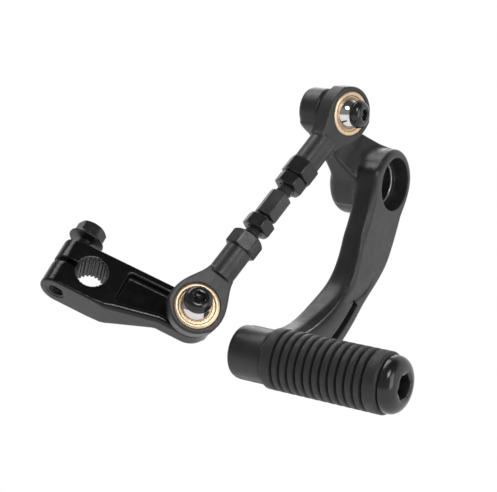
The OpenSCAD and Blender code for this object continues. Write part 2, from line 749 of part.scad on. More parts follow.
module pinch_bolt() {
    flange_t = 1.5;
    color([0.15, 0.15, 0.15]) on_lower_screw()
        translate([pinch_x, clamp_upper - crank_rise + pinch_out, clamp_mid])
            rotate([-90, 0, 0]) {
            translate([0, 0, -pinch_len]) chamfered(pinch_d, pinch_len + eps, 0.6);
            rotate_extrude($fn = 64) polygon([[0, 0], [pinch_flange_d / 2 - 0.3, 0],
                [pinch_flange_d / 2, 0.3], [pinch_flange_d / 2 - 0.2, 0.8],
                [pinch_af / 2, flange_t + 0.3], [0, flange_t + 0.3]]);
            translate([0, 0, flange_t]) turned_hex(pinch_af, pinch_head_h, 0.7);
        }
}

module upper_spacer() { color([0.2, 0.2, 0.21]) on_upper_screw() spacer(); }
module upper_ball() { color([0.8, 0.8, 0.8]) on_upper_screw() joint_ball(); }
module upper_washer() { color([0.2, 0.2, 0.21]) on_upper_screw() washer(); }
module upper_ball_screw() {
    color([0.06, 0.06, 0.07]) on_upper_screw() button_screw(upper_screw_len);
}
module upper_liner() { color([0.78, 0.6, 0.36]) at_upper_end() liner(); }
module upper_rod_end() { color([0.14, 0.14, 0.15]) at_upper_end() rod_end(); }
module upper_jam_nut() {
    color([0.14, 0.14, 0.15]) on_rod() translate([0, 0, upper_end_z - nut_h]) jam_nut();
}
module lower_jam_nut() {
    color([0.14, 0.14, 0.15]) on_rod() translate([0, 0, lower_nut_z]) jam_nut();
}
module lower_rod_end() { color([0.14, 0.14, 0.15]) at_lower_end() rod_end(); }
module lower_liner() { color([0.78, 0.6, 0.36]) at_lower_end() liner(); }
module lower_ball() { color([0.8, 0.8, 0.8]) on_lower_screw() joint_ball(); }
module lower_spacer() { color([0.2, 0.2, 0.21]) on_lower_screw() spacer(); }
module lower_washer() { color([0.2, 0.2, 0.21]) on_lower_screw() washer(); }
module lower_ball_screw() {
    color([0.06, 0.06, 0.07]) on_lower_screw() button_screw(lower_screw_len);
}

pedal_lever();
pivot_bush();
peg_core();
peg_rubber();
peg_bolt();
upper_spacer();
upper_ball();
upper_washer();
upper_ball_screw();
upper_liner();
upper_rod_end();
upper_jam_nut();
link_rod();
lower_jam_nut();
lower_rod_end();
lower_liner();
lower_ball();
lower_spacer();
lower_washer();
lower_ball_screw();
clamp_arm();
pinch_bolt();
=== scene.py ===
"""Looks of a motorcycle gear shift lever with its link rod and clamp arm.

Lengths are in millimetres until a mesh is made; Blender itself works in metres.
"""

import json
import math

import bpy
import numpy as np
from mathutils import Matrix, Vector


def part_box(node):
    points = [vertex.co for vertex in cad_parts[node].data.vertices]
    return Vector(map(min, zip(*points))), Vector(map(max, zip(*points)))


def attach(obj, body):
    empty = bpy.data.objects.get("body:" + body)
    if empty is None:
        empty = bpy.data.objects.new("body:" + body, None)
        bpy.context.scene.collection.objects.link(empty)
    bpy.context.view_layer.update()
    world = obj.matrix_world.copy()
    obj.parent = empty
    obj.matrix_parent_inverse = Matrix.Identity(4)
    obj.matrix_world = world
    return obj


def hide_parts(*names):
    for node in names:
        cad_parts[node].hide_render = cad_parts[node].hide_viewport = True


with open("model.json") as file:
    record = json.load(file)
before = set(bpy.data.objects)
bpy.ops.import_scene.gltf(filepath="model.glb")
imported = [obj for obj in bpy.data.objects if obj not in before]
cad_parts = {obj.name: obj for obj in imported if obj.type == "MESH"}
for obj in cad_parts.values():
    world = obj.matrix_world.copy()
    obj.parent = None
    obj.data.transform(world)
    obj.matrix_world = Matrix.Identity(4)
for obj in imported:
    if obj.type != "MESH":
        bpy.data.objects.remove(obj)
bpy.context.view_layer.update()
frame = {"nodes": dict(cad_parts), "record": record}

# Driving sizes

MM = 0.001

# Lever casting
HUB_R, HUB_HALF, HUB_RIM, HUB_REAR_RIM = 13.5, 11.5, 2.0, 4.0
RECESS_R, RECESS_DEPTH = 10.3, 6.0
# The last size is the thickness of a black sheet in the bush's bore that paints the shade inside
# it.
BUSH_R, BUSH_BORE_R, BORE_SHADE_SHEET = 8.6, 7.6, 0.15
ARM_START, ARM_LEAN = (-1.3, 3.0), (-0.24, -1.0)
ARM_DROP, ARM_SWEEP, ARM_HOOK = 25.5, 43.4, 22.2
ARM_STATIONS, STATION_PITCH = 181, 0.62
ARM_ROOT_RISE = 3.0
ARM_FACE_EDGE, ARM_REAR_EDGE, ARM_ROOT_EDGE, ARM_END_EDGE = 1.2, 3.0, 3.5, 0.5
CREASE_FILLET, MIN_FILLET, CREASE_OVERLAP, REAR_LOBE_PEAK = 1.2, 0.02, 0.6, 0.55
SCOOP_CENTRE, SCOOP_R, SCOOP_CHORD = (-28.5, -22.0), 18.0, 11.0
SCOOP_TOP, SCOOP_DEPTH, SCOOP_EDGE = SCOOP_CENTRE[1] - SCOOP_CHORD, 0.6, 0.2
PEG_BOSS_R, PEG_BOSS_LEN, PEG_BOSS_EDGE = 9.45, 14.0, 1.2
PEG_BOLT_HOLE_R, PEG_BOLT_HOLE_FLOOR = 6.0, 2.0
ROD_BOSS_R, ROD_BOSS_FRONT, ROD_BOSS_LEN = 8.3, 3.6, 9.0
WEB_HOLLOW_FRONT, WEB_HOLLOW_REAR, WEB_REAR_INSET = 2.0, 3.4, 2.0
WEB_FRONT_EDGE, WEB_REAR_EDGE, WEB_EDGE_SPLIT = 1.1, 2.4, 4.0
RAMP_R, RAMP_TOP_GAP, RAMP_FOOT_R, RAMP_FOOT_RISE = 12.0, 7.0, 6.0, 4.3
GROOVE_W, GROOVE_DEPTH, GROOVE_RIM, GROOVE_SPAN = 3.2, 3.0, 3.9, (0.5, 0.86)
HUB_FILLET, WEB_FILLET, PEG_BOSS_FILLET = 2.0, 1.5, 2.5
CUT_EDGE, HOLE_EDGE = 0.35, 0.3
WELL_INSIDE, FAR_OUT = -50.0, 30.0

# Sizes that change along the arm: (places from 0 at the hub to 1 at the peg, values there)
ARM_WIDTHS = ([0, 0.28, 0.5, 1], [25, 24.2, 13.5, 17.5])
ARM_DEPTHS = ([0, 0.33, 0.62, 1], [10, 10, 13.8, 13.8])
EDGE_WIDTHS = ([0, 0.4, 0.62, 1], [2.6, 2.6, 4.2, 4.2])
CREASE_DEPTHS = ([0, 0.25, 0.36, 0.5, 0.7, 1], [2.6, 2.6, 1.4, 2.1, 4.2, 4.2])
LOBE_TURNS = ([0, 0.12, 0.46, 0.8, 1], [1, 1, 0.6, 0.6, 1])
ARM_FLARES = ([0, 0.5, 0.68, 0.85, 1], [0, 0, 0.8, 0.8, 0])

# Peg
CORE_R, CORE_LEN = 7.9, 46.6
RUBBER_R, GROOVES, GROOVE_PITCH = 10.9, 12, 3.23
RIB_GAP_W, RIB_GAP_DEPTH, REAR_BAND = 1.1, 1.9, 4.3
RUBBER_GAP, RUBBER_REAR_EDGE, RUBBER_TIP_EDGE = 0.4, 0.9, 1.1
DOME_R, DOME_H, DOME_RIM_H = 10.0, 5.25, 1.2
DOME_SOCKET, DOME_SOCKET_CORNER, DOME_SOCKET_LIP = 8.0, 0.25, 0.55

# Ball joints
BALL_R, BALL_HALF = 6.35, 4.5
RING_R, RING_HALF, RING_EDGE, RING_BORE_EDGE = 10.0, 3.375, 0.8, 0.25
LINER_R, LINER_HALF, LINER_PLAY, LINER_PROUD = 8.25, 2.9, 0.04, 0.05
LINER_BULGE_AT, LINER_BULGE_R = 7.25, 1.5
SPACER_R, SPACER_T, WASHER_T, WASHER_EDGE = 4.2, 2.4, 0.8, 0.15
SCREW_HEAD_R, SCREW_HEAD_H, SCREW_RIM_H, SCREW_TIP_EDGE = 5.25, 3.3, 0.35, 0.4
SCREW_SOCKET, SCREW_SOCKET_CORNER, SCREW_SOCKET_LIP = 4.0, 0.12, 0.45
SCREW_TIP_GAP = 0.5
THREAD_R, THREAD_PITCH, BORE_PLAY, FACE_GAP = 3.0, 1.0, 0.05, 0.02

# Link rod
ROD_END_LEN, SHANK_R, NECK_FILLET, SHANK_FILLET = 33.0, 5.0, 7.0, 0.5
FLAT_REACH, FLAT_OVERLAP, COLLAR_OVERLAP = 15.0, 1.2, 0.5
COLLAR_LEN, COLLAR_AF, COLLAR_FACE_R = 7.0, 11.0, 4.9
NUT_AF, NUT_H, NUT_FACE_R, NUT_BORE_EDGE = 10.0, 5.0, 4.7, 0.35
LINK_AF, LINK_HEX_LEN, LINK_FACE_R, HEX_CORNER = 8.0, 10.5, 3.7, 0.3
LOWER_THREAD_GAP, NECK_LEN, NECK_DEPTH, THREAD_REACH = 3.0, 1.2, 0.45, 13.0

# Clamp arm, in its own frame: origin at the lower ball, X from bore to ball, Z outwards
CRANK_LEN, CRANK_RISE = 38.9, 2.2
CLAMP_T, FOOT_T, CLAMP_UPPER, CLAMP_LOWER = 14.0, 8.0, 9.3, 10.0
NOSE_LEN, FOOT_W = 6.3, 15.4
CLAMP_EDGE, CLAMP_SOFT_EDGE, SOFT_SIDE_Y = 0.7, 1.8, -3.0
SPLINE_CREST_R, SPLINE_VALLEY, SPLINES, SPLINE_COLLAR = 5.3, 0.5, 24, 1.0
SLOT_W, PINCH_OFFSET = 1.8, 8.8
PINCH_R, PINCH_LEN, PINCH_OUT = 3.0, 20.0, 4.2
PINCH_HOLE_R, PINCH_TAPPED_R, TAP_R = 3.2, 3.5, 3.35
PINCH_FLANGE_R, PINCH_FLANGE_T = 6.8, 1.5
PINCH_AF, PINCH_HEAD_H, PINCH_FACE_R = 10.0, 4.6, 4.6
POCKET_DEPTH, POCKET_WALL, POCKET_R = 3.4, 3.0, 1.4
POCKET_FLOOR_R, POCKET_LIP, POCKET_FOOT_R = 0.8, 0.6, 7.0

# Places, worked out from the frame


def unit(v):
    """The vector with its length made 1."""
    v = np.asarray(v, float)
    return v / np.linalg.norm(v)


class Place:
    """A local frame: an origin in millimetres and three axes."""

    def __init__(self, origin, z, y=None, x=None):
        self.origin = np.asarray(origin, float)
        self.z = unit(z)
        if x is None:
            self.y = unit(y - np.dot(y, self.z) * self.z)
            self.x = np.cross(self.y, self.z)
        else:
            self.x = unit(x - np.dot(x, self.z) * self.z)
            self.y = np.cross(self.z, self.x)

    def out(self, points):
        """Local points to the object's own frame."""
        return self.origin + np.asarray(points) @ np.array([self.x, self.y, self.z])

    def at(self, x=0.0, y=0.0, z=0.0):
        """The same axes at another local origin."""
        return Place(self.out([x, y, z]), self.z, x=self.x)


joints = {j["name"]: j for j in frame["record"]["behaviour"]["joints"]}
mounts = {m["name"]: m for m in frame["record"]["mounts"]}
upper_ball = np.array(joints["upper_swing"]["pos_m"]) / MM
lower_ball = np.array(joints["lower_swing"]["pos_m"]) / MM
rod_dir = unit(upper_ball - lower_ball)
rod_len = np.linalg.norm(upper_ball - lower_ball)
lower_bolt = np.array(joints["lower_swing"]["axis"])
UP = np.array([0.0, 0.0, 1.0])

core_lo, core_hi = (np.array(c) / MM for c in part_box("peg_core"))
peg_axis = ((core_lo[0] + core_hi[0]) / 2, (core_lo[2] + core_hi[2]) / 2)
hub_front = core_hi[1]

on_lever = Place([0, 0, 0], UP, x=np.array([1.0, 0, 0]))
on_hub = Place([0, 0, 0], [0, -1, 0], x=np.array([1.0, 0, 0]))
on_peg = Place([peg_axis[0], hub_front, peg_axis[1]], [0, -1, 0], x=np.array([1.0, 0, 0]))
on_upper_screw = Place(upper_ball, [0, -1, 0], x=np.array([1.0, 0, 0]))
on_rod = Place(lower_ball, rod_dir, y=np.cross(UP, rod_dir))


def ring_normal(tilt_axis, bolt):
    """Across both the rod and the tilt axis, towards the screw's head."""
    n = unit(np.cross(rod_dir, tilt_axis))
    return n if np.dot(n, bolt) > 0 else -n


on_upper_end = Place(upper_ball, -rod_dir,
                     y=ring_normal(joints["upper_tilt"]["axis"], [0, -1, 0]))
on_lower_end = Place(lower_ball, rod_dir,
                     y=ring_normal(joints["lower_tilt"]["axis"], lower_bolt))

bore_centre = np.array(mounts["spline_clamp"]["pos_m"]) / MM
to_ball = lower_ball - bore_centre
to_ball -= np.dot(to_ball, lower_bolt) * lower_bolt
lower_bolt_side = np.cross(lower_bolt, unit(to_ball))
arm_x = unit(CRANK_LEN * unit(to_ball) - CRANK_RISE * lower_bolt_side)
on_arm = Place(lower_ball, lower_bolt, x=arm_x)

SEAT_DROP = BALL_HALF + SPACER_T
HEAD_RISE = BALL_HALF + WASHER_T
CRANK_FACE = -SEAT_DROP
CLAMP_MID = CRANK_FACE - CLAMP_T / 2
PINCH_X = -CRANK_LEN - PINCH_OFFSET

# Materials


class Shader:
    """A node material; noise scales are per metre and bump heights are in metres."""

    def __init__(self, name):
        self.material = bpy.data.materials.new(name)
        self.material.use_nodes = True
        self.nodes = self.material.node_tree.nodes
        self.links = self.material.node_tree.links
        self.bsdf = self.nodes["Principled BSDF"]
        self.coords = self.nodes.new("ShaderNodeTexCoord").outputs["Object"]

    def set(self, **values):
        """Sets the main shader's sockets; an underscore stands for a space in a name."""
        for socket, value in values.items():
            self.bsdf.inputs[socket.replace("_", " ")].default_value = value

    def node(self, kind, **values):
        made = self.nodes.new(kind)
        for socket, value in values.items():
            made.inputs[socket.replace("_", " ")].default_value = value
        return made

    def noise(self, scale, detail=3.0):
        made = self.node("ShaderNodeTexNoise", Scale=scale, Detail=detail, Roughness=0.55)
        self.links.new(self.coords, made.inputs["Vector"])
        return made.outputs["Fac"]

    def blend(self, fac, dark, light, places=(0.3, 0.7)):
        """A colour that goes from dark to light while fac is between the places."""
        made = self.nodes.new("ShaderNodeValToRGB")
        for element, place, colour in zip(made.color_ramp.elements, places, (dark, light)):
            element.position = place
            element.color = (*colour, 1)
        self.links.new(fac, made.inputs["Fac"])
        return made.outputs["Color"]

    def grey(self, fac, low, high):
        """A number that goes from low to high; noise is mostly between 0.3 and 0.7."""
        made = self.node("ShaderNodeMapRange", From_Min=0.3, From_Max=0.7, To_Min=low,
                         To_Max=high)
        self.links.new(fac, made.inputs["Value"])
        return made.outputs["Result"]

    def bump(self, height, distance, base=None):
        """A surface direction; a base is another bump that lies under this one."""
        made = self.node("ShaderNodeBump", Distance=distance)
        self.links.new(height, made.inputs["Height"])
        if base is not None:
            self.links.new(base, made.inputs["Normal"])
        return made.outputs["Normal"]

    def feed(self, socket, output):
        self.links.new(output, self.bsdf.inputs[socket])


def steel_finish(name, dark, light, rough_low, rough_high):
    """Black-finished steel: faint cloudy tone, fine grain, smooth waves of gloss."""
    s = Shader(name)
    s.set(IOR=1.5)
    s.feed("Base Color", s.blend(s.noise(180), dark, light))
    s.feed("Roughness", s.grey(s.noise(306, 4), rough_low, rough_high))
    broad = s.bump(s.noise(396, 2), 0.00004)
    s.feed("Normal", s.bump(s.noise(2500, 2), 0.000012, base=broad))
    return s.material


def cast_finish():
    """Satin black paint on a casting: fine orange peel over slow waves."""
    s = Shader("cast_satin_black")
    s.set(IOR=1.5)
    dark, light = (0.013, 0.0132, 0.0142), (0.021, 0.0213, 0.0225)
    s.feed("Base Color", s.blend(s.noise(140, 4), dark, light))
    s.feed("Roughness", s.grey(s.noise(300, 5), 0.34, 0.46))
    broad = s.bump(s.noise(260, 3), 0.00008)
    s.feed("Normal", s.bump(s.noise(3200, 3), 0.00003, base=broad))
    return s.material


def forged_gloss():
    """Glossy black paint on a forging, which is slightly uneven."""
    s = Shader("forged_gloss_black")
    s.set(IOR=1.42)
    dark, light = (0.003, 0.003, 0.0032), (0.006, 0.006, 0.0064)
    s.feed("Base Color", s.blend(s.noise(160, 3), dark, light, (0.3, 0.75)))
    s.feed("Roughness", s.grey(s.noise(220, 4), 0.12, 0.22))
    s.feed("Normal", s.bump(s.noise(330, 3), 0.00009))
    return s.material


def rubber_finish():
    """Matte black rubber with a fine grain."""
    s = Shader("peg_rubber_matte")
    s.set(IOR=1.5, Sheen_Weight=0.06, Sheen_Roughness=0.5)
    dark, light = (0.010, 0.010, 0.0105), (0.019, 0.019, 0.020)
    s.feed("Base Color", s.blend(s.noise(120, 4), dark, light, (0.3, 0.75)))
    s.feed("Roughness", s.grey(s.noise(420, 4), 0.5, 0.66))
    s.feed("Normal", s.bump(s.noise(2200, 4), 0.00004))
    return s.material


def turned_metal(name, colour, dark, rough_low, rough_high):
    """Bright turned metal with a little tarnish."""
    s = Shader(name)
    s.set(Metallic=1.0)
    s.feed("Base Color", s.blend(s.noise(350, 4), dark, colour, (0.25, 0.6)))
    s.feed("Roughness", s.grey(s.noise(500, 3), rough_low, rough_high))
    return s.material


CAST = cast_finish()
GLOSS = forged_gloss()
OXIDE = steel_finish("black_oxide_steel", (0.015, 0.015, 0.0155), (0.027, 0.027, 0.028), 0.34, 0.46)
LINK = steel_finish("link_grey_steel", (0.03, 0.03, 0.0315), (0.05, 0.05, 0.052), 0.26, 0.38)
SCREW = steel_finish("black_screw_steel", (0.008, 0.008, 0.0085), (0.018, 0.018, 0.0185), 0.12, 0.2)
NUT = steel_finish("black_nut_steel", (0.008, 0.008, 0.0085), (0.016, 0.016, 0.0165), 0.24, 0.34)
PLAIN = steel_finish("dark_plain_steel", (0.02, 0.02, 0.021), (0.04, 0.04, 0.042), 0.35, 0.5)
RUBBER = rubber_finish()
BRASS = turned_metal("liner_brass", (0.74, 0.56, 0.38), (0.62, 0.45, 0.29), 0.36, 0.42)
CHROME = turned_metal("ball_chrome", (0.75, 0.74, 0.73), (0.6, 0.59, 0.57), 0.06, 0.12)
BUSH = turned_metal("bush_steel", (0.42, 0.41, 0.4), (0.3, 0.29, 0.28), 0.3, 0.42)

# Meshes from rings: every ring has one point for each turn angle

RING_POINTS = 144
TURN = np.arange(RING_POINTS) * 2 * math.pi / RING_POINTS


def circle(r):
    """Points of a circle, or of any outline if r has one radius for each turn angle."""
    return np.c_[r * np.cos(TURN), r * np.sin(TURN)]


def hexagon(af, corner):
    """A hexagon with rounded corners, one point in the direction of each turn angle."""
    apothem = af / 2 - corner
    a = (TURN + math.pi / 6) % (math.pi / 3) - math.pi / 6
    flat = (af / 2) / np.cos(np.abs(a) - math.pi / 6)
    reach = apothem / math.cos(math.pi / 6)
    disc = corner ** 2 - (reach * np.sin(a)) ** 2
    tip = reach * np.cos(a) + np.sqrt(np.maximum(disc, 0))
    return circle(np.where((disc > 0) & (tip < flat), tip, flat))


def ring(outline, z):
    """An outline at a height z, or at one height for each of its points."""
    return np.c_[outline, np.broadcast_to(z, len(outline))]


def turned(profile):
    """Rings of a lathe profile, a list of (radius, z)."""
    return [ring(circle(r), z) for r, z in profile]


def arc(centre, r, start, end, n=6):
    """Points of an arc of n steps, from the start angle to the end angle in degrees."""
    a = np.radians(np.linspace(start, end, n + 1))
    return [(centre[0] + r * math.cos(t), centre[1] + r * math.sin(t)) for t in a]


def stack(rings, closed=False):
    """Joins rings of equal length into a tube; an open tube gets a cap at each end."""
    n, m = len(rings[0]), len(rings)
    verts = np.vstack(rings)
    faces = []
    for i in range(m if closed else m - 1):
        a, b = i * n, (i + 1) % m * n
        faces += [(a + j, a + (j + 1) % n, b + (j + 1) % n, b + j) for j in range(n)]
    if not closed:
        faces.append(tuple(range(n - 1, -1, -1)))
        faces.append(tuple(range((m - 1) * n, m * n)))
    return verts, faces


def thread_rings(r, z0, z1, depth=0.6):
    """Eight rings a turn of a helical thread, which fades out over a turn at both ends."""
    out = []
    for z in np.arange(z0, z1 + 1e-6, THREAD_PITCH / 8):
        phase = (z / THREAD_PITCH - TURN / (2 * math.pi)) % 1
        tooth = np.clip(np.abs(phase - 0.5) * 2.6 - 0.2, 0, 1)
        fade = np.clip(min(z - z0, z1 - z) / THREAD_PITCH, 0, 1)
        out.append(ring(circle(r - depth * (1 - (1 - tooth) * fade)), z))
    return out


def turned_hex_rings(af, z0, z1, face_r, turned_foot=True):
    """A hexagon prism; its corners are turned off at 30 degrees, at the foot if asked."""
    hexa = hexagon(af, HEX_CORNER)
    drop = np.maximum(np.hypot(*hexa.T) - face_r, 0) * math.tan(math.radians(30))
    foot = [ring(hexa, z0)]
    if turned_foot:
        foot = [ring(circle(face_r), z0), ring(hexa, z0 + drop)]
    return foot + [ring(hexa, z1 - drop), ring(circle(face_r), z1)]


# Meshes from distance fields, which are negative inside


def round_join(a, b, r):
    """Union of two distance fields with a fillet of radius r."""
    u, v = np.maximum(r - a, 0), np.maximum(r - b, 0)
    return np.maximum(r, np.minimum(a, b)) - np.hypot(u, v)


def round_meet(a, b, r):
    """Intersection of two distance fields with its edge rounded to radius r."""
    u, v = np.maximum(r + a, 0), np.maximum(r + b, 0)
    return np.minimum(-r, np.maximum(a, b)) + np.hypot(u, v)


def round_cut(a, b, r):
    """What is left of a when b is cut out, with the edge rounded to radius r."""
    return round_meet(a, -b, r)


def polygon_distance(u, v, points):
    """Signed distance to a closed polygon, negative inside."""
    points = np.asarray(points, float)
    best, sign = None, 1.0
    for p, q in zip(points, np.roll(points, 1, axis=0)):
        e = q - p
        wu, wv = u - p[0], v - p[1]
        t = np.clip((wu * e[0] + wv * e[1]) / (e @ e), 0, 1)
        d = (wu - e[0] * t) ** 2 + (wv - e[1] * t) ** 2
        best = d if best is None else np.minimum(best, d)
        above, below, left = v >= p[1], v < q[1], e[0] * wv > e[1] * wu
        flip = (above & below & left) | (~above & ~below & ~left)
        sign = np.where(flip, -sign, sign)
    return sign * np.sqrt(best)


def surface(field, lo, hi, step):
    """Vertices and quads of the zero surface of field(x, y, z), by surface nets."""
    axes = [np.arange(a, b + step, step) for a, b in zip(lo, hi)]
    x, y, z = np.meshgrid(*axes, indexing="ij", sparse=True)
    values = np.broadcast_to(field(x, y, z), tuple(len(a) for a in axes)).astype(np.float32)
    inside = values < 0
    corners = [(i, j, k) for i in (0, 1) for j in (0, 1) for k in (0, 1)]

    def shifted(a, c):
        return a[tuple(slice(o, s - 1 + o) for o, s in zip(c, a.shape))]

    count = sum(shifted(inside, c).astype(np.int8) for c in corners)
    cells = np.argwhere((count > 0) & (count < 8))
    index = -np.ones(count.shape, np.int64)
    index[tuple(cells.T)] = np.arange(len(cells))
    total, hits = np.zeros((len(cells), 3)), np.zeros(len(cells))
    for a in corners:
        for axis in range(3):
            if a[axis]:
                continue
            b = tuple(1 if i == axis else a[i] for i in range(3))
            va = values[tuple((cells + a).T)]
            vb = values[tuple((cells + b).T)]
            cross = (va < 0) != (vb < 0)
            t = np.where(cross, va / np.where(cross, va - vb, 1), 0)
            point = np.array(a) + t[:, None] * np.eye(3)[axis]
            total += np.where(cross[:, None], point, 0)
            hits += cross
    verts = np.array(lo) + step * (cells + total / hits[:, None])
    quads = []
    for axis in range(3):
        e1 = np.eye(3, dtype=int)[(axis + 1) % 3]
        e2 = np.eye(3, dtype=int)[(axis + 2) % 3]
        ahead = [slice(None)] * 3
        behind = [slice(None)] * 3
        ahead[axis], behind[axis] = slice(1, None), slice(None, -1)
        a, b = inside[tuple(behind)], inside[tuple(ahead)]
        for edge, order in ((a & ~b, (0, 1, 2, 3)), (~a & b, (3, 2, 1, 0))):
            at = np.argwhere(edge)
            at = at[(at[:, (axis + 1) % 3] > 0) & (at[:, (axis + 2) % 3] > 0)]
            ring_of = [at - e1 - e2, at - e2, at, at - e1]
            quads.append(np.stack([index[tuple(ring_of[o].T)] for o in order], 1))
    return settle(verts, field, step), np.vstack(quads)


def settle(verts, field, step):
    """Moves vertices onto the zero surface along its gradient."""
    h = step * 0.1
    for _ in range(3):
        x, y, z = verts.T
        value = field(x, y, z)
        slope = np.stack([field(x + h, y, z) - value, field(x, y + h, z) - value,
                          field(x, y, z + h) - value], 1) / h
        length = np.maximum((slope ** 2).sum(1), 0.25)
        move = -(value / length)[:, None] * slope
        verts = verts + np.clip(move, -step * 0.5, step * 0.5)
    return verts


# Objects


def add_object(name, data):
    """Puts a mesh, a light or a camera in the scene."""
    obj = bpy.data.objects.new(name, data)
    bpy.context.scene.collection.objects.link(obj)
    return obj


def make(name, body, material, place, mesh, replaces=(), smooth=35):
    """Builds an object from (vertices, faces) in a place, riding on a body."""
    verts, faces = mesh
    data = bpy.data.meshes.new(name)
    data.from_pydata((place.out(verts) * MM).tolist(), [], [list(map(int, f)) for f in faces])
    data.validate()
    data.shade_smooth()
    data.set_sharp_from_angle(angle=math.radians(smooth))
    data.materials.append(material)
    obj = add_object(name, data)
    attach(obj, body)
    if replaces:
        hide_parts(*replaces)
    return obj


def bevel(obj, width, angle=40):
    """Rounds every edge that turns by more than the angle."""
    mod = obj.modifiers.new("edge_rounding", "BEVEL")
    mod.width = width * MM
    mod.segments = 2
    mod.limit_method = "ANGLE"
    mod.angle_limit = math.radians(angle)


def finish_node(node, material, width):
    """Gives a CAD node its material and rounded edges."""
    obj = frame["nodes"][node]
    obj.data.materials.clear()
    obj.data.materials.append(material)
    bevel(obj, width)


# Lever casting and its bush


def arm_points(t):
    """Points of the arm's spine, a Bezier curve in X and Z from the hub to the peg."""
    a = np.array(ARM_START)
    d = np.array(peg_axis)
    b = a + np.array(ARM_LEAN) * ARM_DROP
    c = d + np.array([ARM_SWEEP, -ARM_HOOK])
    s = 1 - t
    return (s ** 3 * a.reshape(2, 1) + 3 * s * s * t * b.reshape(2, 1)
            + 3 * s * t * t * c.reshape(2, 1) + t ** 3 * d.reshape(2, 1))


ARM_T = np.linspace(0, 1, ARM_STATIONS)
ARM_XZ = arm_points(ARM_T)
ARM_DIR = np.gradient(ARM_XZ, axis=1)
ARM_DIR = ARM_DIR / np.hypot(*ARM_DIR)


def eased(t, knots):
    """Runs through the knots with an even slope at each of them."""
    places, values = (np.asarray(k, float) for k in knots)
    i = np.clip(np.searchsorted(places, t, side="right") - 1, 0, len(places) - 2)
    s = np.clip((t - places[i]) / (places[i + 1] - places[i]), 0, 1)
    return values[i] + (values[i + 1] - values[i]) * s * s * (3 - 2 * s)


def along_arm(x, z):
    """Place t on the spine, distance across it (inner side positive) and past its ends."""
    shape = np.broadcast_shapes(np.shape(x), np.shape(z))
    best = np.full(shape, 1e9)
    t, across, over = np.zeros(shape), np.zeros(shape), np.zeros(shape)
    for i, (px, pz) in enumerate(ARM_XZ.T):
        dx, dz = x - px, z - pz
        d = dx * dx + dz * dz
        near = d < best
        best = np.where(near, d, best)
        ux, uz = ARM_DIR[:, i]
        ahead = dx * ux + dz * uz
        t = np.where(near, ARM_T[i] + ahead * ARM_T[1] / STATION_PITCH, t)
        across = np.where(near, dx * uz - dz * ux, across)
        if i == 0:
            over = np.where(near, -ahead - np.where(across > 0, ARM_ROOT_RISE, 0), over)
        elif i == len(ARM_T) - 1:
            over = np.where(near, ahead, over)
        else:
            over = np.where(near, WELL_INSIDE, over)
    return np.clip(t, 0, 1), across, over


def bow(a, b, height):
    """Thirteen points of an arc from a to b that bows to the left by height."""
    d = b - a
    length = np.hypot(*d)
    r = (length ** 2 / 4 + height ** 2) / (2 * height)
    half = math.asin(length / 2 / r)
    side = np.array([-d[1], d[0]]) / length
    centre = (a + b) / 2 - side * (r - height)
    ts = half * np.linspace(-1, 1, 13)
    return [centre + side * r * math.cos(t) + d / length * r * math.sin(t) for t in ts]


rod_boss = upper_ball[[0, 2]]
web_len = np.hypot(*rod_boss)
web_u = rod_boss / web_len
web_n = np.array([web_u[1], -web_u[0]])


def web_outline():
    """The web seen along Y: two hollow sides that touch the hub and the rod boss."""
    lean = math.asin((HUB_R - ROD_BOSS_R) / web_len)
    front = web_n * math.cos(lean) + web_u * math.sin(lean)
    rear = -web_n * math.cos(lean) + web_u * math.sin(lean)
    return (bow(front * HUB_R, rod_boss + front * ROD_BOSS_R, WEB_HOLLOW_FRONT)
            + bow(rod_boss + rear * ROD_BOSS_R, rear * HUB_R, WEB_HOLLOW_REAR))


def web_ramp():
    """The web seen across it, in (distance from the pivot, y)."""
    far, boss = web_len + FAR_OUT, web_len - ROD_BOSS_R
    hub_rear, hub_front = HUB_HALF - WEB_REAR_INSET, -HUB_HALF + RAMP_FOOT_RISE
    boss_rear = ROD_BOSS_FRONT + ROD_BOSS_LEN
    slope = arc((boss - RAMP_TOP_GAP, ROD_BOSS_FRONT - RAMP_R), RAMP_R, 90, 132)
    return ([(-FAR_OUT, hub_rear), (HUB_R, hub_rear), (boss, boss_rear), (far, boss_rear),
             (far, ROD_BOSS_FRONT)] + slope
            + [(RAMP_FOOT_R, hub_front), (-FAR_OUT, hub_front)])


def groove_outline():
    """The groove seen along Y: it follows the arm's outer edge at a constant rim."""
    ts = np.linspace(*GROOVE_SPAN, 16)
    half = eased(ts, ARM_WIDTHS) / 2
    spine = arm_points(ts)
    dx, dz = (np.interp(ts, ARM_T, ARM_DIR[k]) for k in (0, 1))
    outwards = np.array([-dz, dx])
    far = spine + outwards * (half - GROOVE_RIM)
    near = spine + outwards * (half - GROOVE_RIM - GROOVE_W)
    return np.vstack([near.T, far.T[::-1]])


WEB, RAMP, GROOVE = web_outline(), web_ramp(), groove_outline()


